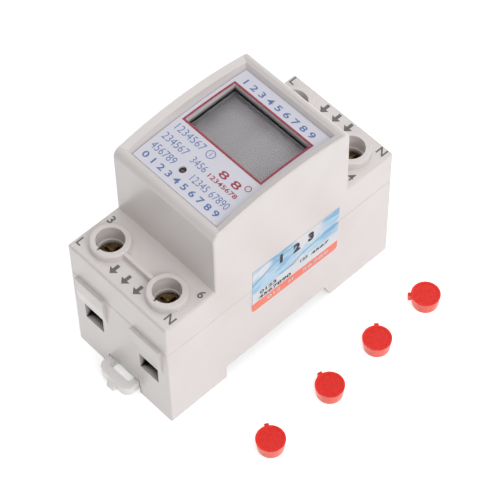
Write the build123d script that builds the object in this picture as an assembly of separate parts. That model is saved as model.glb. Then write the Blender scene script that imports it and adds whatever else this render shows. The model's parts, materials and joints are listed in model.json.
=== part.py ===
from build123d import *
from math import degrees
import os

# Energy meter for a 35 mm mounting rail, two modules wide, lying on its back.
# +Z points out of the display, Y runs across the rail, X along it.
# The origin is on the rail's seat, at the rail's centre line and the meter's middle.
# All sizes are in millimetres.

# Outside form
WIDTH = 36.0
NEAR_Y = -37.0
FAR_Y = 41.3
FOOT_Z = -5.1
PARTING_Z = 25.8
DECK_Z = 37.1
NOSE_NEAR_Y = -20.35
NOSE_FAR_Y = 25.1
CROWN_Z = 62.35
CROWN_R = 105.0
WALL = 1.8
FLOOR_T = 2.0
EDGE_R = 0.5
DECK_EDGE_R = 0.7
NOSE_EDGE_R = 2.4
NOSE_SIDE_CHAMFER = 0.3
PARTING_CHAMFER = 0.2
LIP_H = 1.5
LIP_T = 0.8
LIP_PLAY = 0.05

# Rim and label on the nose
RIM_LAND = 0.25
RIM_W = 2.15
RIM_END = 2.95
RIM_CREST = 2.05
RIM_FOOT = 2.9
RIM_FOOT_END = 3.65
RIM_DROP = 0.8
LABEL_INSET_X = 3.05
LABEL_INSET_Y = 3.75
LABEL_DROP = 3.0
LABEL_R = 180.0
LABEL_T = 0.6
CEILING_T = 2.05
PRINT_T = 0.05

# Display
WINDOW_W = 26.8
WINDOW_L = 16.6
WINDOW_Y = 7.7
FRAME_LINE_W = 0.6
PANE_MARGIN = 1.2
PANE_T = 1.0
GLASS_MARGIN_Y = 1.7
GLASS_T = 2.2
GLASS_DROP = 1.9
LCD_FRAME_WALL = 0.7
LCD_FRAME_GAP = 0.4
LCD_FRAME_PLAY = 0.1
STRIP_W = 1.6
STRIP_H = 1.8
BOARD_T = 1.6
BOARD_PLAY = 0.6
PILLAR_R = 1.8
PILLAR_PILOT_R = 0.85
PILLAR_X = 12.5
PILLAR_INSET_Y = 2.4
BOARD_SCREW_R = 0.8
BOARD_SCREW_L = 5.0
BOARD_SCREW_HEAD_R = 1.6
BOARD_SCREW_HEAD_H = 1.0
LED_X = -2.7
LED_Y = -11.3
LED_R = 1.5
LED_BODY_L = 5.25
LED_COLLAR_H = 0.75
LED_LEG_R = 0.25
LED_LEG_X = 0.75
LED_RISE = 0.2
LED_HOLE_R = 1.0
LED_HOLE_PLAY = 0.1

# Rail seat and latch
RAIL_W = 35.0
RAIL_T = 1.0
RAIL_PLAY = 0.2
SLOT_FLARE = 2.2
HOOK_HALF_W = 12.0
HOOK_REACH = 1.4
HOOK_H = 2.1
LATCH_W = 11.4
LATCH_T = 3.0
LATCH_PLAY = 0.2
LATCH_TOP_GAP = 0.5
CHANNEL_Z = 0.2
LATCH_PULL = 4.4
LATCH_TRAVEL = 4.0
LATCH_CORNER_R = 2.4
LATCH_EYE_W = 7.5
LATCH_EYE_L = 3.0
LATCH_EYE_R = 0.7
LATCH_BAR = 2.5
LATCH_NIB_W = 2.4
LATCH_NIB_OUT = 0.9
LATCH_NIB_H = 1.0
LEDGE_W = 1.4
LEDGE_START = 1.5
POST_W = 2.8
POST_L = 1.7
POST_INSET = 6.1
STOP_GAP = 0.3
SPRING_W = 4.4
SPRING_SHUT_L = 3.2
SPRING_T = 0.4
SPRING_H = 2.2
SPRING_TURNS = 3

# Terminals
TERMINAL_X = 10.4
TERMINAL_INSET = 7.65
WIRE_W = 6.9
WIRE_H = 6.0
WIRE_DROP = 0.4
PAD_W = 10.6
PAD_OUT = 1.0
PAD_STRAIGHT = 5.0
BAR_Z = 15.4
BAR_T = 1.5
BAR_W = 8.0
TONGUE_END = 0.35
CAGE_W = 9.0
CAGE_L = 8.0
CAGE_SIDE = 1.0
CAGE_FLOOR = 1.0
CAGE_HEAD = 2.0
CAGE_PLAY = 0.3
CAGE_REST = 0.5
CAGE_H = 15.4
CAGE_TRAVEL = 6.0
JAW_CLOSED = 0.9
TONGUE_PLAY = 0.3
SCREW_R = 2.0
THREAD_PLAY = 0.08
SCREW_TIP_GAP = 1.5
BRIDGE_T = 1.2
BRIDGE_W = 7.0
BRIDGE_FOOT = 4.0
BRIDGE_CLEAR = 0.75
BRIDGE_END = 3.6
BRIDGE_HOLE_PLAY = 0.3
HEAD_R = 3.5
HEAD_H = 2.4
HEAD_GAP = 0.1
HEAD_CHAMFER = 0.4
CROSS_W = 0.9
CROSS_L = 5.4
CROSS_DEPTH = 1.2
POCKET_PLAY = 0.3
NECK_R = 3.4
NECK_H = 0.8
NECK_GAP = 0.4
WELL_R = 3.75
BOSS_R = 5.35
BOSS_H = 2.2
BOSS_EDGE_R = 0.5
NOTCH_W = 0.6
NOTCH_R = 4.4
RIB_T = 1.0
RIB_DROP = 0.3

# Live path and neutral bar
SHUNT_NEAR_Y = -4.0
SHUNT_L = 10.0
SHUNT_W = 6.0

# Main board and what it carries; each share is of the height from the bars to the board's top
MAIN_BOARD_X = -2.0
MAIN_BOARD_Z = 4.0
LINK_GAP = 1.7
MAIN_BOARD_PLAY = 1.0
GUIDE_W = 4.2
GUIDE_L = 3.0
GUIDE_BITE = 1.2
GUIDE_Z = 16.0
GUIDE_PLAY = 0.1
DROPPER_CAP = (8.0, 17.5, 14.0)
DROPPER_CAP_Y = -8.0
DROPPER_CAP_SHARE = 0.375
SMOOTHING_R = 4.0
SMOOTHING_L = 9.0
SMOOTHING_Y = 7.5
SMOOTHING_SHARE = 0.275
VARISTOR_R = 5.0
VARISTOR_T = 3.6
VARISTOR_LEAD_R = 0.4
VARISTOR_LEAD_GAP = 5.0
VARISTOR_OFF = 1.0
VARISTOR_Y = 16.5
VARISTOR_SHARE = 0.545
RESISTOR_R = 2.0
RESISTOR_L = 9.0
RESISTOR_Y = 8.0
RESISTOR_SHARE = 0.715
METER_CHIP = (1.5, 4.0)
METER_CHIP_Y = 5.5
METER_CHIP_SHARE = 0.34
METER_CHIP_LEGS = 8
CONTROL_CHIP = (2.0, 7.5)
CONTROL_CHIP_Y = -9.0
CONTROL_CHIP_SHARE = 0.51
CONTROL_CHIP_LEGS = 12
LEG_PITCH = 1.27
LEG_W = 0.45
LEG_OUT = 1.0
LEG_T = 0.3
CRYSTAL_R = 1.8
CRYSTAL_L = 10.5
CRYSTAL_H = 3.2
CRYSTAL_Y = 15.0
CRYSTAL_SHARE = 0.14
LINK_W = 2.5
LINK_L = 12.7
LINK_Y = -8.0
LINK_BITE = 2.5
LINK_PINS = 5
LINK_PIN = 0.6
PIN_T = 0.8
SENSE_PIN_INSET = 1.5
NEUTRAL_PIN_Y = 12.0

# Side sticker
STICKER_T = 0.1
STICKER_W = 30.2
STICKER_H = 17.2
STICKER_CORNER_R = 1.1
STICKER_Y = 6.8
STICKER_Z = 23.8
STICKER_TILT = -2.0
BAND_H = 3.4
STRIP_FIELD_H = 4.2

# Sealing plugs, lying beside the meter
PLUG_GRIP = 0.2
PLUG_H = 3.8
PLUG_TAPER = 0.4
PLUG_WALL = 0.9
PLUG_TOP = 1.5
PLUG_RIM_W = 0.5
PLUG_DISH = 0.25
PLUG_TAB_W = 1.2
PLUG_TAB_OUT = 0.8
PLUG_TAB_H = 2.2
PLUG_PLACES = ((37.3, 36.2), (38.1, 17.15), (39.7, -1.7), (40.7, -23.7))
PLUG_TURNS = (226.0, 137.0, 171.0, 150.0)

# Print on the label: rows of marks as (y, first x, last x, mark height)
BLUE_ROWS = (
    (-3.4, -13.3, -3.5, 2.2),
    (-7.3, -13.7, -5.4, 2.2),
    (-7.5, -3.6, 1.7, 2.0),
    (-11.1, -13.7, -5.6, 2.3),
    (-11.2, 0.5, 13.2, 2.1),
    (-14.4, -13.4, 13.1, 1.9),
    (18.5, -12.2, 12.2, 2.2),
)
RED_ROWS = (
    (-5.4, 4.2, 11.3, 2.2),
    (-7.9, 2.9, 12.6, 1.3),
)
MARK_PITCH = 4.4
MARK_GAP = 0.7
RING_W = 0.25
BLUE_RING = (-1.1, -3.5, 1.3)
RED_RING = (12.7, -4.1, 0.9)

# Places that follow from the sizes above
HALF_W = WIDTH / 2
INNER_X = HALF_W - WALL
CROWN_Y = (NOSE_NEAR_Y + NOSE_FAR_Y) / 2
LABEL_Z = CROWN_Z - LABEL_DROP
CEILING_Z = LABEL_Z - LABEL_T - CEILING_T
SLOT_HALF = RAIL_W / 2 + RAIL_PLAY
FLANGE_Z = -RAIL_T - RAIL_PLAY
TERMINALS = (
    ("out_live", -TERMINAL_X, NEAR_Y + TERMINAL_INSET, 1),
    ("out_neutral", TERMINAL_X, NEAR_Y + TERMINAL_INSET, 1),
    ("in_live", -TERMINAL_X, FAR_Y - TERMINAL_INSET, -1),
    ("in_neutral", TERMINAL_X, FAR_Y - TERMINAL_INSET, -1),
)
CHAMBER_X = CAGE_W / 2 + CAGE_PLAY
CHAMBER_Y = CAGE_L / 2 + CAGE_PLAY
CHAMBER_BACK = CHAMBER_Y + BRIDGE_T
JAW_OPEN = CAGE_TRAVEL + JAW_CLOSED
CAGE_Z = BAR_Z - JAW_OPEN - CAGE_FLOOR
CHAMBER_Z = CAGE_Z - CAGE_REST
BAR_TOP = BAR_Z + BAR_T
TONGUE_W = CAGE_W - 2 * CAGE_SIDE - 2 * TONGUE_PLAY
WIRE_TOP = BAR_Z - WIRE_DROP
BRIDGE_TOP = CAGE_Z + CAGE_H + CAGE_TRAVEL + BRIDGE_CLEAR + BRIDGE_T
HEAD_Z = BRIDGE_TOP + HEAD_GAP
HEAD_TOP = HEAD_Z + HEAD_H
NECK_Z = HEAD_TOP + NECK_GAP
BOSS_TOP = DECK_Z + BOSS_H
LCD_FRAME_X = INNER_X - LCD_FRAME_GAP
GLASS_W = 2 * (LCD_FRAME_X - LCD_FRAME_WALL - LCD_FRAME_PLAY)
GLASS_L = WINDOW_L + 2 * GLASS_MARGIN_Y
PANE_Z = CEILING_Z - PANE_T
GLASS_TOP = PANE_Z - GLASS_DROP
GLASS_Z = GLASS_TOP - GLASS_T
DISPLAY_BOARD_TOP = GLASS_Z - STRIP_H
DISPLAY_BOARD_Z = DISPLAY_BOARD_TOP - BOARD_T
MAIN_BOARD_TOP = DISPLAY_BOARD_Z - LINK_GAP
MAIN_BOARD_NEAR = NOSE_NEAR_Y + WALL + MAIN_BOARD_PLAY
MAIN_BOARD_FAR = NOSE_FAR_Y - WALL - MAIN_BOARD_PLAY
BOARD_FRONT = MAIN_BOARD_X + BOARD_T / 2
BOARD_REAR = MAIN_BOARD_X - BOARD_T / 2
LATCH_TOP = CHANNEL_Z - LATCH_TOP_GAP
LATCH_BOTTOM = LATCH_TOP - LATCH_T
LATCH_HALF = LATCH_W / 2
POST_NEAR = NEAR_Y + POST_INSET
POST_FAR = POST_NEAR + POST_L
SPRING_L = SPRING_SHUT_L + LATCH_TRAVEL
WINDOW_HALF_W = WINDOW_W / 2
WINDOW_HALF_L = WINDOW_L / 2


def block(x0, x1, y0, y1, z0, z1):
    """A box between two corners."""
    return Pos((x0 + x1) / 2, (y0 + y1) / 2, (z0 + z1) / 2) * Box(x1 - x0, y1 - y0, z1 - z0)


def rod(radius, x, y, z0, z1):
    """An upright cylinder."""
    return Pos(x, y, (z0 + z1) / 2) * Cylinder(radius, z1 - z0)


def rod_x(radius, x0, x1, y, z):
    """A cylinder along X."""
    return Pos((x0 + x1) / 2, y, z) * Rot(0, 90, 0) * Cylinder(radius, x1 - x0)


def rod_y(radius, x, y0, y1, z):
    """A cylinder along Y."""
    return Pos(x, (y0 + y1) / 2, z) * Rot(90, 0, 0) * Cylinder(radius, y1 - y0)


def side_profile(points, half_width):
    """A shape with straight edges seen from the side (Y, Z), spread evenly across the width."""
    return extrude(Plane.YZ * make_face(Polyline(points, close=True)), amount=half_width, both=True)


def arc_z(y, top, radius):
    """Height at y of an arc that peaks over the nose's middle."""
    return top - radius + (radius ** 2 - (y - CROWN_Y) ** 2) ** 0.5


def arched_sheet(x_half, y0, y1, top, radius, thickness):
    """A sheet bent along Y, its upper face on the arc and its lower face straight below it."""
    low = top - thickness
    ends = Polyline(
        (y0, arc_z(y0, top, radius)), (y0, arc_z(y0, low, radius))
    ) + Polyline((y1, arc_z(y1, low, radius)), (y1, arc_z(y1, top, radius)))
    bows = ThreePointArc((y0, arc_z(y0, low, radius)), (CROWN_Y, low), (y1, arc_z(y1, low, radius)))
    bows += ThreePointArc((y1, arc_z(y1, top, radius)), (CROWN_Y, top), (y0, arc_z(y0, top, radius)))
    return extrude(Plane.YZ * make_face(ends + bows), amount=x_half, both=True)


def inward(y, direction, low, high):
    """A stretch measured from a terminal towards the meter's middle, as (y0, y1)."""
    ends = (y + direction * low, y + direction * high)
    return min(ends), max(ends)


def base_body():
    """The lower shell's outside: the rail slot below, a flare and the fixed hook at its far side."""
    shell = side_profile(
        [
            (NEAR_Y, FOOT_Z),
            (-SLOT_HALF, FOOT_Z),
            (-SLOT_HALF, 0),
            (SLOT_HALF, 0),
            (SLOT_HALF + SLOT_FLARE, FOOT_Z),
            (FAR_Y, FOOT_Z),
            (FAR_Y, PARTING_Z),
            (NEAR_Y, PARTING_Z),
        ],
        HALF_W,
    )
    uprights = shell.edges().filter_by(Axis.Z)
    shell = fillet(uprights.filter_by(lambda e: abs(e.center().Y) > SLOT_HALF + SLOT_FLARE), EDGE_R)
    shell = chamfer(shell.faces().sort_by(Axis.Z)[-1].edges(), PARTING_CHAMFER)
    hook = side_profile(
        [
            (SLOT_HALF, 0),
            (SLOT_HALF, FLANGE_Z),
            (SLOT_HALF - HOOK_REACH, FLANGE_Z),
            (SLOT_HALF - HOOK_REACH, FLANGE_Z - HOOK_H / 2),
            (SLOT_HALF, FLANGE_Z - HOOK_H),
            (SLOT_HALF + SLOT_FLARE, FOOT_Z),
            (SLOT_HALF + 2 * SLOT_FLARE, FOOT_Z),
            (SLOT_HALF + 2 * SLOT_FLARE, 0),
        ],
        HOOK_HALF_W,
    )
    return shell + hook


def hood_pad(x, end_y, outward):
    """The raised pad over a wire hole: straight at the top, sloping back to the wall at the hole."""
    profile = [
        (end_y - outward * PARTING_CHAMFER, PARTING_Z - PARTING_CHAMFER),
        (end_y + outward * PAD_OUT, PARTING_Z - PARTING_CHAMFER),
        (end_y + outward * PAD_OUT, PARTING_Z - PAD_STRAIGHT),
        (end_y, WIRE_TOP),
        (end_y - outward * PARTING_CHAMFER, WIRE_TOP),
    ]
    return Pos(x, 0, 0) * side_profile(profile, PAD_W / 2)


def chamber_cut(x, y, direction):
    """Room for one cage, its wire hole through the end wall, and the notch that seats bar and bridge."""
    end_y = y - direction * TERMINAL_INSET
    room_y = inward(y, direction, -CHAMBER_Y, CHAMBER_Y)
    room = block(x - CHAMBER_X, x + CHAMBER_X, *room_y, CHAMBER_Z, PARTING_Z)
    hole_y = inward(end_y, direction, -PAD_OUT, TERMINAL_INSET)
    hole = block(x - WIRE_W / 2, x + WIRE_W / 2, *hole_y, WIRE_TOP - WIRE_H, WIRE_TOP)
    notch_y = inward(y, direction, 0, CHAMBER_BACK + WALL)
    notch_half = BAR_W / 2 + LIP_PLAY
    notch = block(x - notch_half, x + notch_half, *notch_y, BAR_Z, PARTING_Z)
    return room + hole + notch


def latch_channel():
    """The latch's way through the near foot, with a ledge on each side that holds it up."""
    half = LATCH_HALF + LATCH_PLAY
    ledge_z = LATCH_BOTTOM - LATCH_PLAY
    tunnel = block(-half, half, NEAR_Y, -SLOT_HALF, ledge_z, CHANNEL_Z)
    mouth = block(-half, half, NEAR_Y, NEAR_Y + LEDGE_START, FOOT_Z, ledge_z)
    gap = block(-half + LEDGE_W, half - LEDGE_W, NEAR_Y, -SLOT_HALF, FOOT_Z, ledge_z)
    post = block(-POST_W / 2, POST_W / 2, POST_NEAR, POST_FAR, LATCH_BOTTOM + LATCH_PLAY, CHANNEL_Z)
    return tunnel + mouth + gap - post


def board_guide(end_y, direction):
    """A slotted post that holds one edge of the main board."""
    post_y = inward(end_y, direction, GUIDE_BITE - GUIDE_L, GUIDE_BITE)
    slot_y = inward(end_y, direction, -GUIDE_PLAY, GUIDE_BITE)
    post = block(MAIN_BOARD_X - GUIDE_W / 2, MAIN_BOARD_X + GUIDE_W / 2, *post_y, FLOOR_T, GUIDE_Z)
    slot = block(BOARD_REAR - GUIDE_PLAY, BOARD_FRONT + GUIDE_PLAY, *slot_y, MAIN_BOARD_Z, GUIDE_Z)
    return post - slot


def base_housing():
    """The moulded lower shell."""
    shell = base_body()
    for name, x, y, direction in TERMINALS:
        shell += hood_pad(x, y - direction * TERMINAL_INSET, -direction)
    rooms_near = NEAR_Y + TERMINAL_INSET + CHAMBER_BACK
    rooms_far = FAR_Y - TERMINAL_INSET - CHAMBER_BACK
    shell -= block(-INNER_X, INNER_X, rooms_near, rooms_far, FLOOR_T, PARTING_Z)
    aisle_half = TERMINAL_X - CHAMBER_X - BRIDGE_T
    shell -= block(-aisle_half, aisle_half, NEAR_Y + WALL, FAR_Y - WALL, FLOOR_T, PARTING_Z)
    for name, x, y, direction in TERMINALS:
        shell -= chamber_cut(x, y, direction)
    shell -= latch_channel()
    lip_x = INNER_X + LIP_T
    lip_top = PARTING_Z + LIP_H
    lip = block(-lip_x, lip_x, NEAR_Y + WALL - LIP_T, FAR_Y - WALL + LIP_T, PARTING_Z - LIP_T, lip_top)
    lip -= block(-INNER_X, INNER_X, NEAR_Y + WALL, FAR_Y - WALL, PARTING_Z - LIP_T, lip_top)
    shell += lip
    shell += board_guide(MAIN_BOARD_NEAR, 1)
    shell += board_guide(MAIN_BOARD_FAR, -1)
    return shell


def nose():
    """The raised middle: an arched top with rounded shoulders."""
    foot_z = DECK_Z - WALL
    near_top = (NOSE_NEAR_Y, arc_z(NOSE_NEAR_Y, CROWN_Z, CROWN_R))
    far_top = (NOSE_FAR_Y, arc_z(NOSE_FAR_Y, CROWN_Z, CROWN_R))
    sides = Polyline(near_top, (NOSE_NEAR_Y, foot_z), (NOSE_FAR_Y, foot_z), far_top)
    face = make_face(sides + ThreePointArc(far_top, (CROWN_Y, CROWN_Z), near_top))
    face = fillet(face.vertices().filter_by(lambda v: v.Y > DECK_Z), NOSE_EDGE_R)
    solid = extrude(Plane.YZ * face, amount=HALF_W, both=True)
    left = solid.faces().sort_by(Axis.X)[0]
    right = solid.faces().sort_by(Axis.X)[-1]
    rims = (left.edges() + right.edges()).filter_by(lambda e: e.center().Z > foot_z)
    return chamfer(rims, NOSE_SIDE_CHAMFER)


def dish():
    """The recess in the nose: a rim that slopes inwards on four sides, a steep wall and an arched seat."""
    above = CROWN_Z + RIM_END
    half = HALF_W - RIM_LAND
    inner = HALF_W - RIM_W
    foot = HALF_W - RIM_FOOT
    foot_z = LABEL_Z - LABEL_T
    low = foot_z - LABEL_T
    across = [
        (-half, above),
        (-half, CROWN_Z),
        (-inner, CROWN_Z - RIM_DROP),
        (-foot, foot_z),
        (-foot, low - RIM_DROP),
        (foot, low - RIM_DROP),
        (foot, foot_z),
        (inner, CROWN_Z - RIM_DROP),
        (half, CROWN_Z),
        (half, above),
    ]
    axis = Axis((0, CROWN_Y, CROWN_Z - CROWN_R), (1, 0, 0))
    section = Plane.XZ.offset(-CROWN_Y) * make_face(Polyline(across, close=True))
    reach = NOSE_FAR_Y - NOSE_NEAR_Y
    turn = degrees(reach / CROWN_R)
    swept = revolve(section.rotate(axis, -turn / 2), axis, turn)
    crest = (NOSE_NEAR_Y + RIM_CREST, NOSE_FAR_Y - RIM_CREST)
    edge = (NOSE_NEAR_Y + RIM_END, NOSE_FAR_Y - RIM_END)
    seat = (NOSE_NEAR_Y + RIM_FOOT_END, NOSE_FAR_Y - RIM_FOOT_END)
    seat_z = arc_z(seat[0], foot_z, LABEL_R)
    edge_z = arc_z(edge[0], CROWN_Z, CROWN_R) - RIM_DROP
    crest_z = arc_z(crest[0], CROWN_Z, CROWN_R)
    near = Polyline((seat[0], seat_z), (edge[0], edge_z), (crest[0], crest_z), (crest[0], above))
    far = Polyline((crest[1], above), (crest[1], crest_z), (edge[1], edge_z), (seat[1], seat_z))
    outline = near + Line((crest[0], above), (crest[1], above)) + far
    outline += ThreePointArc((seat[1], seat_z), (CROWN_Y, foot_z), (seat[0], seat_z))
    along = extrude(Plane.YZ * make_face(outline), amount=HALF_W, both=True)
    return swept & along


def well_tube(x, y):
    """The ring round a screw well, reaching down inside to the screw's bridge."""
    tube = rod(BOSS_R, x, y, BRIDGE_TOP + POCKET_PLAY, BOSS_TOP)
    return fillet(tube.edges().group_by(Axis.Z)[-1], BOSS_EDGE_R)


def well_cut(x, y):
    """The well's bore, the neck that keeps the screw in, the pocket for its head and the small notch."""
    cut = rod(WELL_R, x, y, NECK_Z + NECK_H, BOSS_TOP)
    cut += rod(NECK_R, x, y, NECK_Z, NECK_Z + NECK_H)
    cut += rod(HEAD_R + POCKET_PLAY, x, y, BRIDGE_TOP, NECK_Z)
    cut += block(x - NOTCH_W / 2, x + NOTCH_W / 2, y - NOTCH_R, y, NECK_Z + NECK_H, BOSS_TOP)
    return cut


def pillar_places():
    """Where the display board is screwed to the cover."""
    near = NOSE_NEAR_Y + WALL + PILLAR_INSET_Y
    far = NOSE_FAR_Y - WALL - PILLAR_INSET_Y
    return [(x, y) for x in (-PILLAR_X, PILLAR_X) for y in (near, far)]


def top_cover():
    """The moulded cover: deck, nose, wells and the pillars inside."""
    deck = block(-HALF_W, HALF_W, NEAR_Y, FAR_Y, PARTING_Z, DECK_Z)
    deck = fillet(deck.edges().filter_by(Axis.Z), EDGE_R)
    deck = fillet(deck.faces().sort_by(Axis.Z)[-1].edges(), DECK_EDGE_R)
    deck = chamfer(deck.faces().sort_by(Axis.Z)[0].edges(), PARTING_CHAMFER)
    cover = deck + nose() - dish()
    cover -= block(-INNER_X, INNER_X, NEAR_Y + WALL, FAR_Y - WALL, PARTING_Z, DECK_Z - WALL)
    rebate = LIP_T + LIP_PLAY
    cover -= block(
        -INNER_X - rebate,
        INNER_X + rebate,
        NEAR_Y + WALL - rebate,
        FAR_Y - WALL + rebate,
        PARTING_Z,
        PARTING_Z + LIP_H + LIP_PLAY,
    )
    cover -= block(-INNER_X, INNER_X, NOSE_NEAR_Y + WALL, NOSE_FAR_Y - WALL, PARTING_Z, CEILING_Z)
    for name, x, y, direction in TERMINALS:
        cover += well_tube(x, y)
    rib_half = RIB_T / 2
    rib_top = BOSS_TOP - RIB_DROP
    for y in (NEAR_Y + TERMINAL_INSET, FAR_Y - TERMINAL_INSET):
        cover += block(-TERMINAL_X, TERMINAL_X, y - rib_half, y + rib_half, DECK_Z - WALL, rib_top)
    for name, x, y, direction in TERMINALS:
        cover -= well_cut(x, y)
    for x, y in pillar_places():
        cover += rod(PILLAR_R, x, y, DISPLAY_BOARD_TOP, CEILING_Z)
        cover -= rod(PILLAR_PILOT_R, x, y, DISPLAY_BOARD_TOP, DISPLAY_BOARD_TOP + BOARD_SCREW_L)
    cover -= window_prism(0)
    cover -= rod(LED_R + LED_HOLE_PLAY, LED_X, LED_Y, CEILING_Z, LABEL_Z)
    return cover


def level_block(half_x, half_y, z0, z1):
    """A box centred on the display."""
    return block(-half_x, half_x, WINDOW_Y - half_y, WINDOW_Y + half_y, z0, z1)


def window_prism(margin):
    """An upright block over the display's window, grown by a margin."""
    return level_block(WINDOW_HALF_W + margin, WINDOW_HALF_L + margin, GLASS_TOP, CROWN_Z)


def front_label():
    """The white label panel with its window and the hole over the pulse light."""
    x = HALF_W - LABEL_INSET_X
    y0 = NOSE_NEAR_Y + LABEL_INSET_Y
    y1 = NOSE_FAR_Y - LABEL_INSET_Y
    panel = arched_sheet(x, y0, y1, LABEL_Z, LABEL_R, LABEL_T)
    return panel - window_prism(0) - rod(LED_HOLE_R, LED_X, LED_Y, CEILING_Z, CROWN_Z)


def on_label(prisms):
    """Printed shapes: a thin film over the label wherever the given prisms stand."""
    x = HALF_W - LABEL_INSET_X
    y0 = NOSE_NEAR_Y + LABEL_INSET_Y
    y1 = NOSE_FAR_Y - LABEL_INSET_Y
    film = arched_sheet(x, y0, y1, LABEL_Z + PRINT_T, LABEL_R, PRINT_T)
    return film & prisms


def print_window_frame():
    """The red line round the window."""
    return on_label(window_prism(FRAME_LINE_W) - window_prism(0))


def print_rows(rows, ring):
    """Rows of plain marks and a ring, in the places of the printed lines."""
    shapes = []
    for y, x0, x1, height in rows:
        marks = round((x1 - x0 + MARK_GAP) / MARK_PITCH)
        pitch = (x1 - x0 + MARK_GAP) / marks
        half = height / 2
        for i in range(marks):
            x = x0 + i * pitch
            shapes.append(block(x, x + pitch - MARK_GAP, y - half, y + half, GLASS_TOP, CROWN_Z))
    x, y, radius = ring
    outer = rod(radius, x, y, GLASS_TOP, CROWN_Z)
    shapes.append(outer - rod(radius - RING_W, x, y, GLASS_TOP, CROWN_Z))
    return Compound(children=[on_label(shape) for shape in shapes])


def display_window():
    """The clear pane behind the window."""
    return level_block(WINDOW_HALF_W + PANE_MARGIN, WINDOW_HALF_L + PANE_MARGIN, PANE_Z, CEILING_Z)


def lcd_panel():
    """The display's glass."""
    return level_block(GLASS_W / 2, GLASS_L / 2, GLASS_Z, GLASS_TOP)


def lcd_frame():
    """The dark frame that holds glass and pane, standing on the display board."""
    pocket_x = GLASS_W / 2 + LCD_FRAME_PLAY
    pocket_y = GLASS_L / 2 + LCD_FRAME_PLAY
    pane_x = WINDOW_HALF_W + PANE_MARGIN + LCD_FRAME_PLAY
    pane_y = WINDOW_HALF_L + PANE_MARGIN + LCD_FRAME_PLAY
    frame = level_block(LCD_FRAME_X, pocket_y + LCD_FRAME_WALL, DISPLAY_BOARD_TOP, CEILING_Z)
    frame -= level_block(pocket_x, pocket_y, DISPLAY_BOARD_TOP, GLASS_TOP)
    frame -= level_block(pane_x, pane_y, PANE_Z, CEILING_Z)
    return frame - window_prism(0)


def contact_strips():
    """Two rubber strips that join the glass to the display board."""
    x = GLASS_W / 2 - STRIP_W
    reach = GLASS_L / 2 - STRIP_W
    strips = []
    for y in (WINDOW_Y - reach, WINDOW_Y + reach):
        strips.append(block(-x, x, y - STRIP_W / 2, y + STRIP_W / 2, DISPLAY_BOARD_TOP, GLASS_Z))
    return Compound(children=strips)


def display_board():
    """The board under the display, with a hole for each of its screws."""
    x = INNER_X - BOARD_PLAY
    y0 = NOSE_NEAR_Y + WALL + BOARD_PLAY
    y1 = NOSE_FAR_Y - WALL - BOARD_PLAY
    board = block(-x, x, y0, y1, DISPLAY_BOARD_Z, DISPLAY_BOARD_TOP)
    for x, y in pillar_places():
        board -= rod(PILLAR_PILOT_R, x, y, DISPLAY_BOARD_Z, DISPLAY_BOARD_TOP)
    return board


def board_screws():
    """The four small screws that hold the display board to the cover."""
    screws = []
    for x, y in pillar_places():
        shank = rod(BOARD_SCREW_R, x, y, DISPLAY_BOARD_Z, DISPLAY_BOARD_Z + BOARD_SCREW_L)
        head = rod(BOARD_SCREW_HEAD_R, x, y, DISPLAY_BOARD_Z - BOARD_SCREW_HEAD_H, DISPLAY_BOARD_Z)
        screws.append(shank + head)
    return Compound(children=screws)


def pulse_led():
    """The pulse light: a domed body on two legs."""
    tip = arc_z(LED_Y, LABEL_Z - LABEL_T, LABEL_R) + LED_RISE
    collar_z = tip - LED_BODY_L
    body = rod(LED_R, LED_X, LED_Y, collar_z, tip - LED_R)
    body += Pos(LED_X, LED_Y, tip - LED_R) * Sphere(LED_R)
    body += rod(LED_R + 2 * LED_HOLE_PLAY, LED_X, LED_Y, collar_z, collar_z + LED_COLLAR_H)
    for side in (-1, 1):
        body += rod(LED_LEG_R, LED_X + side * LED_LEG_X, LED_Y, DISPLAY_BOARD_TOP, collar_z)
    return body


def main_board():
    """The upright board in the meter's middle."""
    return block(BOARD_REAR, BOARD_FRONT, MAIN_BOARD_NEAR, MAIN_BOARD_FAR, MAIN_BOARD_Z, MAIN_BOARD_TOP)


def board_link():
    """The pin strip between the two boards."""
    y0 = LINK_Y - LINK_L / 2
    z0 = MAIN_BOARD_TOP - LINK_BITE
    strip = block(BOARD_FRONT, BOARD_FRONT + LINK_W, y0, y0 + LINK_L, z0, DISPLAY_BOARD_Z)
    pitch = LINK_L / LINK_PINS
    half = LINK_PIN / 2
    for i in range(LINK_PINS):
        y = y0 + (i + 0.5) * pitch
        strip += block(BOARD_FRONT, BOARD_FRONT + LINK_PIN, y - half, y + half, z0 - LINK_BITE, z0)
    return strip


def on_board(y, share):
    """The y and z of a place on the main board."""
    return y, BAR_TOP + share * (MAIN_BOARD_TOP - BAR_TOP)


def chip(size, place, legs):
    """A flat chip on the main board's rear face, with a row of legs along each long side."""
    depth, height = size
    y, z = place
    back = BOARD_REAR - LEG_T / 2
    body = Pos(back - depth / 2, y, z) * Box(depth, legs * LEG_PITCH, height)
    first_y = y - (legs - 1) * LEG_PITCH / 2
    for i in range(legs):
        leg = Box(LEG_T, LEG_W, height + 2 * LEG_OUT)
        body += Pos(BOARD_REAR - LEG_T / 2, first_y + i * LEG_PITCH, z) * leg
    return body


def dropper_capacitor():
    """The boxed capacitor that feeds the electronics."""
    depth, length, height = DROPPER_CAP
    y, z = on_board(DROPPER_CAP_Y, DROPPER_CAP_SHARE)
    return Pos(BOARD_FRONT + depth / 2, y, z) * Box(depth, length, height)


def smoothing_capacitor():
    """The round capacitor, lying on the main board's front face."""
    y, z = on_board(SMOOTHING_Y, SMOOTHING_SHARE)
    return rod_x(SMOOTHING_R, BOARD_FRONT, BOARD_FRONT + SMOOTHING_L, y, z)


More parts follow.
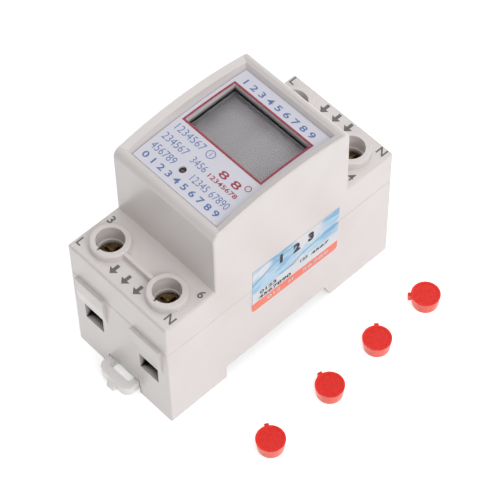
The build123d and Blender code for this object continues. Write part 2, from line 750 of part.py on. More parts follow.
def surge_varistor():
    """The disc that takes surges, standing on two leads."""
    y, z = on_board(VARISTOR_Y, VARISTOR_SHARE)
    x = BOARD_FRONT + VARISTOR_OFF + VARISTOR_R
    body = rod_y(VARISTOR_R, x, y - VARISTOR_T / 2, y + VARISTOR_T / 2, z)
    for side in (-1, 1):
        lead_z = z + side * VARISTOR_LEAD_GAP / 2
        body += rod_x(VARISTOR_LEAD_R, BOARD_FRONT, x - VARISTOR_R / 2, y, lead_z)
    return body


def dropper_resistor():
    """The power resistor, lying on the main board."""
    y, z = on_board(RESISTOR_Y, RESISTOR_SHARE)
    x = BOARD_FRONT + RESISTOR_R
    end = RESISTOR_L / 2
    body = rod_y(RESISTOR_R, x, y - end, y + end, z)
    tip = end + RESISTOR_R
    body += rod_y(VARISTOR_LEAD_R, x, y - tip, y + tip, z)
    for side in (-1, 1):
        body += rod_x(VARISTOR_LEAD_R, BOARD_FRONT, x, y + side * (tip - VARISTOR_LEAD_R), z)
    return body


def crystal():
    """The quartz can on the main board's rear face."""
    y, z = on_board(CRYSTAL_Y, CRYSTAL_SHARE)
    can = extrude(Plane.YZ * Pos(y, z) * SlotOverall(CRYSTAL_L, 2 * CRYSTAL_R), amount=CRYSTAL_H)
    return Pos(BOARD_REAR - CRYSTAL_H, 0, 0) * can


def bar(x, y0, y1, near_tongue, far_tongue):
    """A flat bar along Y whose ends narrow to tongues where they pass through a cage."""
    wide_y0 = y0
    wide_y1 = y1
    shape = None
    if near_tongue:
        wide_y0 = NEAR_Y + TERMINAL_INSET + CHAMBER_Y
        shape = block(x - TONGUE_W / 2, x + TONGUE_W / 2, y0, wide_y0, BAR_Z, BAR_TOP)
    if far_tongue:
        wide_y1 = FAR_Y - TERMINAL_INSET - CHAMBER_Y
        tongue = block(x - TONGUE_W / 2, x + TONGUE_W / 2, wide_y1, y1, BAR_Z, BAR_TOP)
        shape = tongue if shape is None else shape + tongue
    middle = block(x - BAR_W / 2, x + BAR_W / 2, wide_y0, wide_y1, BAR_Z, BAR_TOP)
    return middle + shape


def bar_ends():
    """The outermost ends of the bars' tongues, near and far."""
    reach = CAGE_L / 2 - TONGUE_END
    return NEAR_Y + TERMINAL_INSET - reach, FAR_Y - TERMINAL_INSET + reach


def shunt():
    """The measuring plate welded between the two live bars."""
    x = -TERMINAL_X
    return block(x - SHUNT_W / 2, x + SHUNT_W / 2, SHUNT_NEAR_Y, SHUNT_NEAR_Y + SHUNT_L, BAR_Z, BAR_TOP)


def sense_pins():
    """Pins from the bars to the main board: one each side of the shunt and one on the neutral bar."""
    z0 = BAR_Z + (BAR_T - PIN_T) / 2
    live_edge = -TERMINAL_X + BAR_W / 2
    neutral_edge = TERMINAL_X - BAR_W / 2
    pins = []
    for y in (SHUNT_NEAR_Y - SENSE_PIN_INSET, SHUNT_NEAR_Y + SHUNT_L + SENSE_PIN_INSET):
        pins.append(block(live_edge, BOARD_REAR, y - PIN_T / 2, y + PIN_T / 2, z0, z0 + PIN_T))
    y = NEUTRAL_PIN_Y
    pins.append(block(BOARD_FRONT, neutral_edge, y - PIN_T / 2, y + PIN_T / 2, z0, z0 + PIN_T))
    return Compound(children=pins)


def bridge(x, y, direction):
    """A bent strip on the bar that reaches over the cage and carries the screw's head."""
    back = CHAMBER_Y + BRIDGE_T
    points = [
        (CHAMBER_Y, BAR_TOP),
        (back + BRIDGE_FOOT, BAR_TOP),
        (back + BRIDGE_FOOT, BAR_TOP + BRIDGE_T),
        (back, BAR_TOP + BRIDGE_T),
        (back, BRIDGE_TOP),
        (-BRIDGE_END, BRIDGE_TOP),
        (-BRIDGE_END, BRIDGE_TOP - BRIDGE_T),
        (CHAMBER_Y, BRIDGE_TOP - BRIDGE_T),
    ]
    strip = side_profile([(y + direction * t, z) for t, z in points], BRIDGE_W / 2)
    strip -= rod(SCREW_R + BRIDGE_HOLE_PLAY, 0, y, BRIDGE_TOP - BRIDGE_T, BRIDGE_TOP)
    return Pos(x, 0, 0) * strip


def cage(x, y):
    """A rising cage: a closed ring round the bar's tongue, with a tapped head."""
    top = CAGE_Z + CAGE_H
    half = CAGE_W / 2
    inner = half - CAGE_SIDE
    ends = (y - CAGE_L / 2, y + CAGE_L / 2)
    ring = block(x - half, x + half, *ends, CAGE_Z, top)
    ring = fillet(ring.edges().filter_by(Axis.Y), CAGE_SIDE / 2)
    ring -= block(x - inner, x + inner, *ends, CAGE_Z + CAGE_FLOOR, top - CAGE_HEAD)
    return ring - rod(SCREW_R + THREAD_PLAY, x, y, top - CAGE_HEAD, top)


def terminal_screw(x, y):
    """A cheese-head screw with a cross recess."""
    shank = rod(SCREW_R, x, y, BAR_TOP + SCREW_TIP_GAP, HEAD_Z)
    head = rod(HEAD_R, x, y, HEAD_Z, HEAD_TOP)
    head = chamfer(head.edges().group_by(Axis.Z)[-1], HEAD_CHAMFER)
    half_l = CROSS_L / 2
    half_w = CROSS_W / 2
    head -= block(x - half_l, x + half_l, y - half_w, y + half_w, HEAD_TOP - CROSS_DEPTH, HEAD_TOP)
    head -= block(x - half_w, x + half_w, y - half_l, y + half_l, HEAD_TOP - CROSS_DEPTH, HEAD_TOP)
    return shank + head


def rail_latch():
    """The sliding latch: pull tab with its eye, window for the post and spring, hook under the rail."""
    tip = NEAR_Y - LATCH_PULL
    shoulder = -SLOT_HALF - LATCH_PLAY
    nose_y = -SLOT_HALF + HOOK_REACH
    latch = side_profile(
        [
            (tip, LATCH_BOTTOM),
            (shoulder, LATCH_BOTTOM),
            (nose_y, LATCH_BOTTOM + HOOK_H / 2),
            (nose_y, FLANGE_Z),
            (shoulder, FLANGE_Z),
            (shoulder, LATCH_TOP),
            (tip, LATCH_TOP),
        ],
        LATCH_HALF,
    )
    corners = latch.edges().filter_by(Axis.Z).group_by(Axis.Y)[0]
    latch = fillet(corners, LATCH_CORNER_R)
    eye_y = tip + LATCH_BAR
    eye = block(-LATCH_EYE_W / 2, LATCH_EYE_W / 2, eye_y, eye_y + LATCH_EYE_L, LATCH_BOTTOM, LATCH_TOP)
    eye = fillet(eye.edges().filter_by(Axis.Z), LATCH_EYE_R)
    window = block(
        -SPRING_W / 2 - LATCH_PLAY,
        SPRING_W / 2 + LATCH_PLAY,
        POST_NEAR - STOP_GAP,
        POST_FAR + SPRING_L,
        LATCH_BOTTOM,
        LATCH_TOP,
    )
    nib = side_profile(
        [
            (tip, LATCH_TOP - LATCH_NIB_H),
            (tip - LATCH_NIB_OUT, LATCH_BOTTOM),
            (tip - LATCH_NIB_OUT, LATCH_BOTTOM - LATCH_NIB_H),
            (tip + LATCH_BAR, LATCH_BOTTOM - LATCH_NIB_H),
            (tip + LATCH_BAR, LATCH_TOP - LATCH_NIB_H),
        ],
        LATCH_NIB_W / 2,
    )
    return latch - eye - window + nib


def latch_spring():
    """A strip folded to and fro between the foot's post and the latch."""
    z0 = (LATCH_TOP + LATCH_BOTTOM - SPRING_H) / 2
    pitch = (SPRING_L - SPRING_T - THREAD_PLAY) / SPRING_TURNS
    bend = pitch / 2
    straight = SPRING_W / 2 - bend - SPRING_T / 2
    first_y = POST_FAR + SPRING_T / 2
    strip = None
    for i in range(SPRING_TURNS + 1):
        y = first_y + i * pitch
        leg = Pos(0, y) * Rectangle(2 * straight, SPRING_T)
        strip = leg if strip is None else strip + leg
    for i in range(SPRING_TURNS):
        side = 1 if i % 2 == 0 else -1
        y = first_y + (i + 0.5) * pitch
        ring = Circle(bend + SPRING_T / 2) - Circle(bend - SPRING_T / 2)
        half = Pos(side * pitch, 0) * Rectangle(2 * pitch, 2 * pitch)
        strip += Pos(side * straight, y) * (ring & half)
    return Pos(0, 0, z0) * extrude(strip, amount=SPRING_H)


def sticker_field(x, thickness, height, low, rounded):
    """A flat field on the right side face; low is its lower edge's height from the sticker's middle."""
    face = Plane.YZ * Pos(0, low + height / 2) * Rectangle(STICKER_W, height)
    sheet = extrude(face, amount=thickness)
    if rounded:
        lower_corners = sheet.edges().filter_by(Axis.X).group_by(Axis.Z)[0]
        sheet = fillet(lower_corners, STICKER_CORNER_R)
    return Pos(x, STICKER_Y, STICKER_Z) * Rot(STICKER_TILT, 0, 0) * sheet


def screw_plug(x, y, angle):
    """A soft sealing plug, open below, a little wider than its well at the top, with a small tab."""
    radius = WELL_R + PLUG_GRIP
    body = Pos(0, 0, PLUG_H / 2) * Cone(radius - PLUG_TAPER, radius, PLUG_H)
    body -= rod(radius - PLUG_TAPER - PLUG_WALL, 0, 0, 0, PLUG_H - PLUG_TOP)
    body -= rod(radius - PLUG_RIM_W, 0, 0, PLUG_H - PLUG_DISH, PLUG_H)
    half = PLUG_TAB_W / 2
    tab_top = PLUG_H - PLUG_DISH
    tab = block(radius - PLUG_WALL, radius + PLUG_TAB_OUT, -half, half, PLUG_H - PLUG_TAB_H, tab_top)
    return Pos(x, y, FOOT_Z) * Rot(0, 0, angle) * (body + tab)


def build():
    """Every piece by its name."""
    near_end, far_end = bar_ends()
    shunt_far = SHUNT_NEAR_Y + SHUNT_L
    pieces = {
        "base_housing": base_housing(),
        "top_cover": top_cover(),
        "front_label": front_label(),
        "print_window_frame": print_window_frame(),
        "print_blue": print_rows(BLUE_ROWS, BLUE_RING),
        "print_red": print_rows(RED_ROWS, RED_RING),
        "display_window": display_window(),
        "lcd_panel": lcd_panel(),
        "lcd_frame": lcd_frame(),
        "contact_strips": contact_strips(),
        "display_board": display_board(),
        "board_screws": board_screws(),
        "pulse_led": pulse_led(),
        "main_board": main_board(),
        "board_link": board_link(),
        "metering_chip": chip(METER_CHIP, on_board(METER_CHIP_Y, METER_CHIP_SHARE), METER_CHIP_LEGS),
        "control_chip": chip(CONTROL_CHIP, on_board(CONTROL_CHIP_Y, CONTROL_CHIP_SHARE), CONTROL_CHIP_LEGS),
        "crystal": crystal(),
        "dropper_capacitor": dropper_capacitor(),
        "smoothing_capacitor": smoothing_capacitor(),
        "surge_varistor": surge_varistor(),
        "dropper_resistor": dropper_resistor(),
        "neutral_bar": bar(TERMINAL_X, near_end, far_end, True, True),
        "live_bar_out": bar(-TERMINAL_X, near_end, SHUNT_NEAR_Y, True, False),
        "live_bar_in": bar(-TERMINAL_X, shunt_far, far_end, False, True),
        "shunt": shunt(),
        "sense_pins": sense_pins(),
        "rail_latch": rail_latch(),
        "latch_spring": latch_spring(),
        "side_sticker": sticker_field(HALF_W, STICKER_T, STICKER_H, -STICKER_H / 2, True),
        "sticker_band": sticker_field(HALF_W + STICKER_T, PRINT_T, BAND_H, -STICKER_H / 2, True),
        "sticker_strip": sticker_field(
            HALF_W + STICKER_T, PRINT_T, STRIP_FIELD_H, BAND_H - STICKER_H / 2, False
        ),
    }
    for name, x, y, direction in TERMINALS:
        pieces["bridge_" + name] = bridge(x, y, direction)
        pieces["cage_" + name] = cage(x, y)
        pieces["terminal_screw_" + name] = terminal_screw(x, y)
    for number, (place, angle) in enumerate(zip(PLUG_PLACES, PLUG_TURNS), 1):
        pieces["screw_plug_" + str(number)] = screw_plug(*place, angle)
    return pieces


os.makedirs("parts", exist_ok=True)
for name, shape in build().items():
    export_step(shape, "parts/" + name + ".step")
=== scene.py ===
import json
import math

import bpy
from mathutils import Matrix, Vector

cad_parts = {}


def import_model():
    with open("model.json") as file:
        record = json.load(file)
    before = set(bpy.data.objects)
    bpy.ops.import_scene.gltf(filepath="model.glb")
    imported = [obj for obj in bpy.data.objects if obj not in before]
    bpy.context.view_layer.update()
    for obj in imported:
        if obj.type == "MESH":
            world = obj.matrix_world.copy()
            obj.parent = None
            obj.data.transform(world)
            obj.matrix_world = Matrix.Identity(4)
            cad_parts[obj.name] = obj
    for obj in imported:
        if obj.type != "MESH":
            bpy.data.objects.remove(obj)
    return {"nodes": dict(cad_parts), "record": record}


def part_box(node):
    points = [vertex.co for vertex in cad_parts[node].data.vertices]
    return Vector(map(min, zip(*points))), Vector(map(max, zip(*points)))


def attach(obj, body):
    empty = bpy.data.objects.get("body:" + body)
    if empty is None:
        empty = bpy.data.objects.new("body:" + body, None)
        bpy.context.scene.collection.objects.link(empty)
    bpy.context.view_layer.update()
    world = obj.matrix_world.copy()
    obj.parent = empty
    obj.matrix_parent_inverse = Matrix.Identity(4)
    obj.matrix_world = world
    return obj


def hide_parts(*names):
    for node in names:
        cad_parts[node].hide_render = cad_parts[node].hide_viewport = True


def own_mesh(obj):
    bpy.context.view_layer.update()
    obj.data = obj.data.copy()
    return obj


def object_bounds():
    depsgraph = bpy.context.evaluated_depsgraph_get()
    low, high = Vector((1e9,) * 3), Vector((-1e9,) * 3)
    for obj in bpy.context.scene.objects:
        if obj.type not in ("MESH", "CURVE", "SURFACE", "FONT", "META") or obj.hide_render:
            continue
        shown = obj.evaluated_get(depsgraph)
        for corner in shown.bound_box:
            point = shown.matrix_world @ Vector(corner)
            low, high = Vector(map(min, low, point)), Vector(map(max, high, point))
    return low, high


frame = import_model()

CAD_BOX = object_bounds()
MM = 0.001

# Camera, fitted to 16 points of the photograph
CAMERA_AT = Vector((0.24495, -0.21671, 0.48789))
CAMERA_AZIMUTH = math.radians(-42.50)
CAMERA_ELEVATION = math.radians(55.27)
CAMERA_ROLL = math.radians(-1.09)
CAMERA_LENS = 160.03
CAMERA_SENSOR = 36
CAMERA_CLIP = (0.01, 20)

# Light: the room's strength, then lamps as (name, place, size, power)
ROOM = 0.27
LAMPS = (
    ("right", (1.0, -0.1, 0.8), 0.9, 6.8),
    ("overhead", (0.0, 0.0, 1.3), 1.4, 3.7),
    ("rear_left", (-0.45, 0.45, 1.1), 0.9, 2.1),
    ("rear", (0.3, 1.0, 0.7), 0.9, 1.7),
    ("left", (-0.9, -0.3, 0.6), 0.9, 0.65),
)
LAMP_AIM = Vector((0, 0, 0.02))
FLOOR_REACH = 4.0
FLOOR_GLOW_SEEN = 0.52
FLOOR_GLOW_MIRRORED = 1.0

# The label's bend, the sticker's tilt and the decks' height, as in the solids
LABEL_BEND = 180 * MM
STICKER_TILT = math.radians(-2)
DECK_Z = 37.1 * MM

# Painted shade in recesses: how far round the shell looks for walls, the open shares between which
# its painted shade fades from black to its own tone, and the heights above the pane between which
# the window walls' painted shade fades from dark grey to their own tone
HOLE_SHADE_REACH = 12 * MM
HOLE_SHADE_SHARES = (0.3, 0.42)
WINDOW_WALL_SHADE_HEIGHTS = (0.3 * MM, 1.5 * MM)

# How far print stands above what carries it
INK_RISE = 0.03 * MM

# Rows on the label: (text, y, first x, last x, height, weight), in millimetres
FINE = -0.008
BLUE_ROWS = (
    ("1 2 3 4 5 6 7 8 9", 18.5, -12.2, 12.2, 2.0, 0.016),
    ("1234567", -3.4, -13.3, -3.5, 2.2, FINE),
    ("234567", -7.3, -13.7, -5.4, 2.2, FINE),
    ("3456", -7.5, -3.4, 1.6, 2.1, FINE),
    ("456789", -11.1, -13.7, -5.6, 2.2, FINE),
    ("12345 67890", -11.2, 0.5, 13.2, 2.1, FINE),
    ("0 1 2 3 4 5 6 7 8 9", -14.4, -13.4, 13.1, 1.9, 0.02),
)
BLUE_RING = (-1.1, -3.5, 1.3)
RED_ROWS = (
    ("8 8", -5.4, 4.4, 11.1, 2.2, 0.012),
    ("12345678", -7.9, 2.9, 12.6, 1.3, 0.012),
)
RED_RING = (12.7, -4.1, 0.9)
RING_W = 0.22

# Terminal marks on the decks: (text, x, y)
DECK_MARKS = (
    ("L", -16.3, -34.0),
    ("3", -16.0, -24.2),
    ("N", 16.0, -33.5),
    ("6", 16.0, -23.2),
    ("L", -16.4, 39.5),
    ("1", -16.3, 28.4),
    ("N", 15.7, 39.5),
    ("4", 15.9, 28.3),
)
DECK_MARK_H = 2.5
MARK_WEIGHT = 0.018
ARROW_ROWS = (-33.6, 38.8)
ARROW_PITCH = 4.3
ARROW_H = 3.2

# Marks on the sticker, placed from its middle: large ones as (text, u, v, height), rows as
# (text, first u, last u, v, height)
STICKER_MARKS = (("1", -5.3, 5.8, 3.4), ("2", 0.1, 5.5, 3.4), ("3", 5.1, 5.6, 3.4))
STICKER_DARK_ROWS = (
    ("0123", -12.6, -6.8, -2.1, 1.4),
    ("4567890", -13.0, -1.6, -4.1, 1.4),
    ("123", 1.6, 4.2, -1.9, 1.2),
    ("4567", 5.4, 11.8, -2.3, 1.2),
)
STICKER_BAND_ROWS = (
    ("012", -9.8, -5.2, -6.9, 1.3),
    ("34", -2.6, -0.6, -6.9, 1.3),
    ("56789", 2.6, 11.8, -6.9, 1.3),
)
STICKER_MARK_WEIGHT = 0.06
STICKER_ROW_WEIGHT = 0.03
STICKER_BAND_WEIGHT = 0.01


# Node helpers

def new_material(name):
    """A material with its shader, and object coordinates to drive its patterns."""
    material = bpy.data.materials.new(name)
    material.use_nodes = True
    tree = material.node_tree
    shader = tree.nodes["Principled BSDF"]
    coords = tree.nodes.new("ShaderNodeTexCoord").outputs["Object"]
    return material, tree, shader, coords


def noise(tree, coords, size_mm, detail=3.0, stretch=None):
    """A noise whose features measure about size_mm."""
    if stretch:
        mapping = tree.nodes.new("ShaderNodeMapping")
        mapping.inputs["Scale"].default_value = stretch
        tree.links.new(coords, mapping.inputs["Vector"])
        coords = mapping.outputs["Vector"]
    node = tree.nodes.new("ShaderNodeTexNoise")
    node.inputs["Scale"].default_value = 1 / (size_mm * MM)
    node.inputs["Detail"].default_value = detail
    tree.links.new(coords, node.inputs["Vector"])
    return node.outputs["Fac"]


def between(tree, value, low, high):
    """A value from 0.3 to 0.7 spread over low to high."""
    node = tree.nodes.new("ShaderNodeMapRange")
    node.inputs["From Min"].default_value = 0.3
    node.inputs["From Max"].default_value = 0.7
    node.inputs["To Min"].default_value = low
    node.inputs["To Max"].default_value = high
    tree.links.new(value, node.inputs["Value"])
    return node.outputs["Result"]


def ramp(tree, value, low, high):
    """A soft step from 0 at low to 1 at high."""
    node = tree.nodes.new("ShaderNodeMapRange")
    node.interpolation_type = "SMOOTHSTEP"
    node.inputs["From Min"].default_value = low
    node.inputs["From Max"].default_value = high
    tree.links.new(value, node.inputs["Value"])
    return node.outputs["Result"]


def slanted(tree, coords, turn, stretch):
    """Coordinates turned in the side face's plane and then stretched along its two ways."""
    mapping = tree.nodes.new("ShaderNodeMapping")
    mapping.inputs["Rotation"].default_value = (math.radians(turn), 0, 0)
    mapping.inputs["Scale"].default_value = (1, *stretch)
    tree.links.new(coords, mapping.inputs["Vector"])
    return mapping.outputs["Vector"]


def mix(tree, factor, a, b):
    """Colour a where factor is 0 and b where it is 1; each is a colour or a socket."""
    node = tree.nodes.new("ShaderNodeMix")
    node.data_type = "RGBA"
    tree.links.new(factor, node.inputs["Factor"])
    for socket, colour in ((node.inputs[6], a), (node.inputs[7], b)):
        if isinstance(colour, bpy.types.NodeSocket):
            tree.links.new(colour, socket)
        else:
            socket.default_value = (*colour, 1)
    return node.outputs[2]


def maths(tree, operation, *values):
    """The result of an operation on sockets and numbers."""
    node = tree.nodes.new("ShaderNodeMath")
    node.operation = operation
    for socket, value in zip(node.inputs, values):
        if isinstance(value, bpy.types.NodeSocket):
            tree.links.new(value, socket)
        else:
            socket.default_value = value
    return node.outputs["Value"]


def bump(tree, shader, height, strength, depth_mm):
    """Relief from a pattern."""
    node = tree.nodes.new("ShaderNodeBump")
    node.inputs["Strength"].default_value = strength
    node.inputs["Distance"].default_value = depth_mm * MM
    tree.links.new(height, node.inputs["Height"])
    tree.links.new(node.outputs["Normal"], shader.inputs["Normal"])


def shade(colour, factor):
    """A colour made darker or lighter, with no channel above 1."""
    return tuple(min(1.0, c * factor) for c in colour)


def moulded(name, colour, rough, grain_mm=0.25, grain=0.25, spread=0.04, **shader_values):
    """Moulded plastic: fine eroded grain, faint clouds of tone and of gloss."""
    material, tree, shader, coords = new_material(name)
    clouds = noise(tree, coords, 9.0, 4.0)
    tone = mix(tree, between(tree, clouds, 0, 1), shade(colour, 1 - spread), shade(colour, 1 + spread))
    tree.links.new(tone, shader.inputs["Base Color"])
    wear = noise(tree, coords, 4.0, 1.0)
    tree.links.new(between(tree, wear, rough - 0.02, rough + 0.02), shader.inputs["Roughness"])
    bump(tree, shader, noise(tree, coords, grain_mm, 2.0), grain, 0.02)
    for socket, value in shader_values.items():
        shader.inputs[socket.replace("_", " ")].default_value = value
    return material


def copied(like, name):
    """A copy of a plastic, with its tree, its shader and the socket of its tone."""
    material = like.copy()
    material.name = name
    tree = material.node_tree
    shader = tree.nodes["Principled BSDF"]
    return material, tree, shader, shader.inputs["Base Color"].links[0].from_socket


def shell_painted_hole_shade(like):
    """The housing's plastic for the lower shell, with painted shade that turns it black down its wire
    holes.
    """
    material, tree, shader, tone = copied(like, "shell_painted_hole_shade")
    # Painted shade: where little is open round a point, its colour goes black and its gloss dims.
    hole_shade_occlusion = tree.nodes.new("ShaderNodeAmbientOcclusion")
    hole_shade_occlusion.inputs["Distance"].default_value = HOLE_SHADE_REACH
    hole_unshaded_share = ramp(tree, hole_shade_occlusion.outputs["AO"], *HOLE_SHADE_SHARES)
    tree.links.new(mix(tree, hole_unshaded_share, (0.012, 0.011, 0.01), tone), shader.inputs["Base Color"])
    tree.links.new(maths(tree, "MULTIPLY", hole_unshaded_share, 0.5), shader.inputs["Specular IOR Level"])
    return material


def cover_painted_window_shade(like):
    """The housing's plastic for the cover, with painted shade on its window walls, darker towards the
    pane.
    """
    material, tree, shader, tone = copied(like, "cover_painted_window_shade")
    coords = tree.nodes.new("ShaderNodeTexCoord").outputs["Object"]
    place = tree.nodes.new("ShaderNodeSeparateXYZ")
    tree.links.new(coords, place.inputs["Vector"])
    low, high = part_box("display_window")
    inside = 1.0
    for axis, socket in ((0, "X"), (1, "Y")):
        off = maths(tree, "SUBTRACT", place.outputs[socket], (low[axis] + high[axis]) / 2)
        within = maths(tree, "LESS_THAN", maths(tree, "ABSOLUTE", off), (high[axis] - low[axis]) / 2)
        inside = maths(tree, "MULTIPLY", inside, within)
    # Painted shade: the window walls go from their own tone high up to dark grey near the pane.
    lit = ramp(tree, place.outputs["Z"], *(high[2] + height for height in WINDOW_WALL_SHADE_HEIGHTS))
    wall_unshaded_share = maths(tree, "MAXIMUM", lit, maths(tree, "SUBTRACT", 1.0, inside))
    tree.links.new(mix(tree, wall_unshaded_share, (0.15, 0.14, 0.15), tone), shader.inputs["Base Color"])
    return material


def metal(name, colour, dull, rough, brush=(1, 1, 1)):
    """Metal with tarnish in patches and fine tool marks along one way."""
    material, tree, shader, coords = new_material(name)
    shader.inputs["Metallic"].default_value = 1.0
    patches = noise(tree, coords, 1.6, 6.0)
    tree.links.new(mix(tree, between(tree, patches, 0, 1), dull, colour), shader.inputs["Base Color"])
    marks = noise(tree, coords, 0.35, 4.0, brush)
    tree.links.new(between(tree, marks, rough - 0.1, rough + 0.12), shader.inputs["Roughness"])
    bump(tree, shader, marks, 0.35, 0.02)
    return material


def ink(name, colour, rough=0.35, shine=0.5):
    """Print whose density wanders a little, with small thin spots."""
    material, tree, shader, coords = new_material(name)
    shader.inputs["Specular IOR Level"].default_value = shine
    density = noise(tree, coords, 0.8, 5.0)
    pale = tuple(c + (0.8 - c) * 0.08 for c in colour)
    tree.links.new(mix(tree, between(tree, density, 0, 1), pale, colour), shader.inputs["Base Color"])
    gloss = noise(tree, coords, 0.3)
    tree.links.new(between(tree, gloss, rough - 0.05, rough + 0.1), shader.inputs["Roughness"])
    bump(tree, shader, density, 0.1, 0.01)
    return material


def clear_pane():
    """The window's clear plastic, with faint smears."""
    material, tree, shader, coords = new_material("clear_pane")
    shader.inputs["Transmission Weight"].default_value = 1.0
    shader.inputs["IOR"].default_value = 1.2
    smears = noise(tree, coords, 4.0, 4.0, (1, 0.35, 1))
    tint = mix(tree, between(tree, smears, 0, 1), (0.93, 0.93, 0.93), (1, 1, 1))
    tree.links.new(tint, shader.inputs["Base Color"])
    tree.links.new(between(tree, smears, 0.0, 0.008), shader.inputs["Roughness"])
    bump(tree, shader, noise(tree, coords, 6.0), 0.05, 0.02)
    return material


def display_glass():
    """The switched-off display: even grey with a hint of its polariser's drift in tone."""
    material, tree, shader, coords = new_material("display_glass")
    drift = noise(tree, coords, 12.0, 2.0)
    tone = mix(tree, between(tree, drift, 0, 1), (0.25, 0.235, 0.25), (0.28, 0.265, 0.28))
    tree.links.new(tone, shader.inputs["Base Color"])
    tree.links.new(between(tree, noise(tree, coords, 4.0, 1.0), 0.32, 0.36), shader.inputs["Roughness"])
    bump(tree, shader, noise(tree, coords, 3.0, 1.0), 0.05, 0.01)
    return material


def circuit_board():
    """Green solder mask over faint copper tracks."""
    material, tree, shader, coords = new_material("circuit_board")
    tracks = tree.nodes.new("ShaderNodeTexBrick")
    tracks.inputs["Scale"].default_value = 260
    tracks.inputs["Mortar Size"].default_value = 0.06
    tracks.inputs["Color1"].default_value = (0.02, 0.17, 0.07, 1)
    tracks.inputs["Color2"].default_value = (0.025, 0.2, 0.085, 1)
    tracks.inputs["Mortar"].default_value = (0.05, 0.3, 0.12, 1)
    tree.links.new(coords, tracks.inputs["Vector"])
    tree.links.new(tracks.outputs["Color"], shader.inputs["Base Color"])
    tree.links.new(between(tree, noise(tree, coords, 1.2, 4.0), 0.25, 0.4), shader.inputs["Roughness"])
    bump(tree, shader, tracks.outputs["Fac"], 0.3, 0.03)
    return material


def red_plug():
    """Soft red plastic with some real glow through it, its sides painted paler as painted light and its
    dish painted darker as painted shade.
    """
    material, tree, shader, coords = new_material("red_plug")
    geometry = tree.nodes.new("ShaderNodeNewGeometry")
    split = tree.nodes.new("ShaderNodeSeparateXYZ")
    tree.links.new(geometry.outputs["True Normal"], split.inputs["Vector"])
    top = maths(tree, "GREATER_THAN", split.outputs["Z"], 0.8)
    place = tree.nodes.new("ShaderNodeSeparateXYZ")
    tree.links.new(coords, place.inputs["Vector"])
    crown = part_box("screw_plug_1")[1][2]
    dished = maths(tree, "LESS_THAN", place.outputs["Z"], crown - 0.1 * MM)
    tone = noise(tree, coords, 0.8, 4.0)
    # Painted light on the paler sides, and painted shade in the darker dish inside the rim.
    side = mix(tree, between(tree, tone, 0, 1), (0.95, 0.11, 0.07), (1.0, 0.16, 0.10))
    rim = mix(tree, between(tree, tone, 0, 1), (0.93, 0.025, 0.015), (0.98, 0.05, 0.03))
    dish_painted_shade = mix(tree, between(tree, tone, 0, 1), (0.80, 0.022, 0.016), (0.98, 0.03, 0.02))
    face = mix(tree, dished, rim, dish_painted_shade)
    tree.links.new(mix(tree, top, side, face), shader.inputs["Base Color"])
    shader.inputs["Specular IOR Level"].default_value = 0.3
    shader.inputs["Subsurface Weight"].default_value = 0.2
    shader.inputs["Subsurface Radius"].default_value = (1.0, 0.2, 0.15)
    shader.inputs["Subsurface Scale"].default_value = 1.2 * MM
    tree.links.new(between(tree, noise(tree, coords, 1.0, 5.0), 0.3, 0.45), shader.inputs["Roughness"])
    bump(tree, shader, noise(tree, coords, 0.7), 0.5, 0.05)
    return material


def sticker_film():
    """Pale blue film with slanting streaks, fine darker lines and a few white clearings."""
    material, tree, shader, coords = new_material("sticker_film")
    split = tree.nodes.new("ShaderNodeSeparateXYZ")
    tree.links.new(coords, split.inputs["Vector"])
    low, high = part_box("side_sticker")
    along = ramp(tree, split.outputs["Y"], low[1], high[1])
    up = ramp(tree, split.outputs["Z"], low[2], high[2])
    slope = slanted(tree, coords, -22, (0.3, 1.0))
    clouds = noise(tree, coords, 4.5, 3.0)
    tone = mix(tree, between(tree, clouds, 0, 1), (0.34, 0.60, 0.82), (0.52, 0.73, 0.88))
    streaks = ramp(tree, noise(tree, slope, 2.6, 3.0), 0.5, 0.62)
    tone = mix(tree, streaks, tone, (0.17, 0.47, 0.75))
    clearings = ramp(tree, noise(tree, slanted(tree, coords, 35, (0.6, 1.0)), 5.5, 1.0), 0.59, 0.68)
    tone = mix(tree, clearings, tone, (0.76, 0.79, 0.84))
    wave = tree.nodes.new("ShaderNodeTexWave")
    wave.bands_direction = "Z"
    wave.inputs["Scale"].default_value = 45
    wave.inputs["Distortion"].default_value = 5.0
    wave.inputs["Detail"].default_value = 2.0
    wave.inputs["Detail Scale"].default_value = 1.0
    tree.links.new(slanted(tree, coords, -30, (0.5, 1.0)), wave.inputs["Vector"])
    lines = ramp(tree, wave.outputs["Fac"], 0.955, 0.995)
    tone = mix(tree, maths(tree, "MULTIPLY", lines, 0.75), tone, (0.12, 0.33, 0.50))
    aside = ramp(tree, maths(tree, "ABSOLUTE", maths(tree, "SUBTRACT", along, 0.7)), 0.16, 0.24)
    fade = ramp(tree, maths(tree, "ADD", up, maths(tree, "MULTIPLY", clouds, 0.5)), 0.9, 1.1)
    fade = maths(tree, "MULTIPLY", fade, maths(tree, "SUBTRACT", 1.0, aside))
    tree.links.new(mix(tree, fade, tone, (0.75, 0.76, 0.80)), shader.inputs["Base Color"])
    tree.links.new(between(tree, noise(tree, coords, 2.0, 4.0), 0.3, 0.42), shader.inputs["Roughness"])
    bump(tree, shader, noise(tree, coords, 3.0), 0.1, 0.02)
    return material


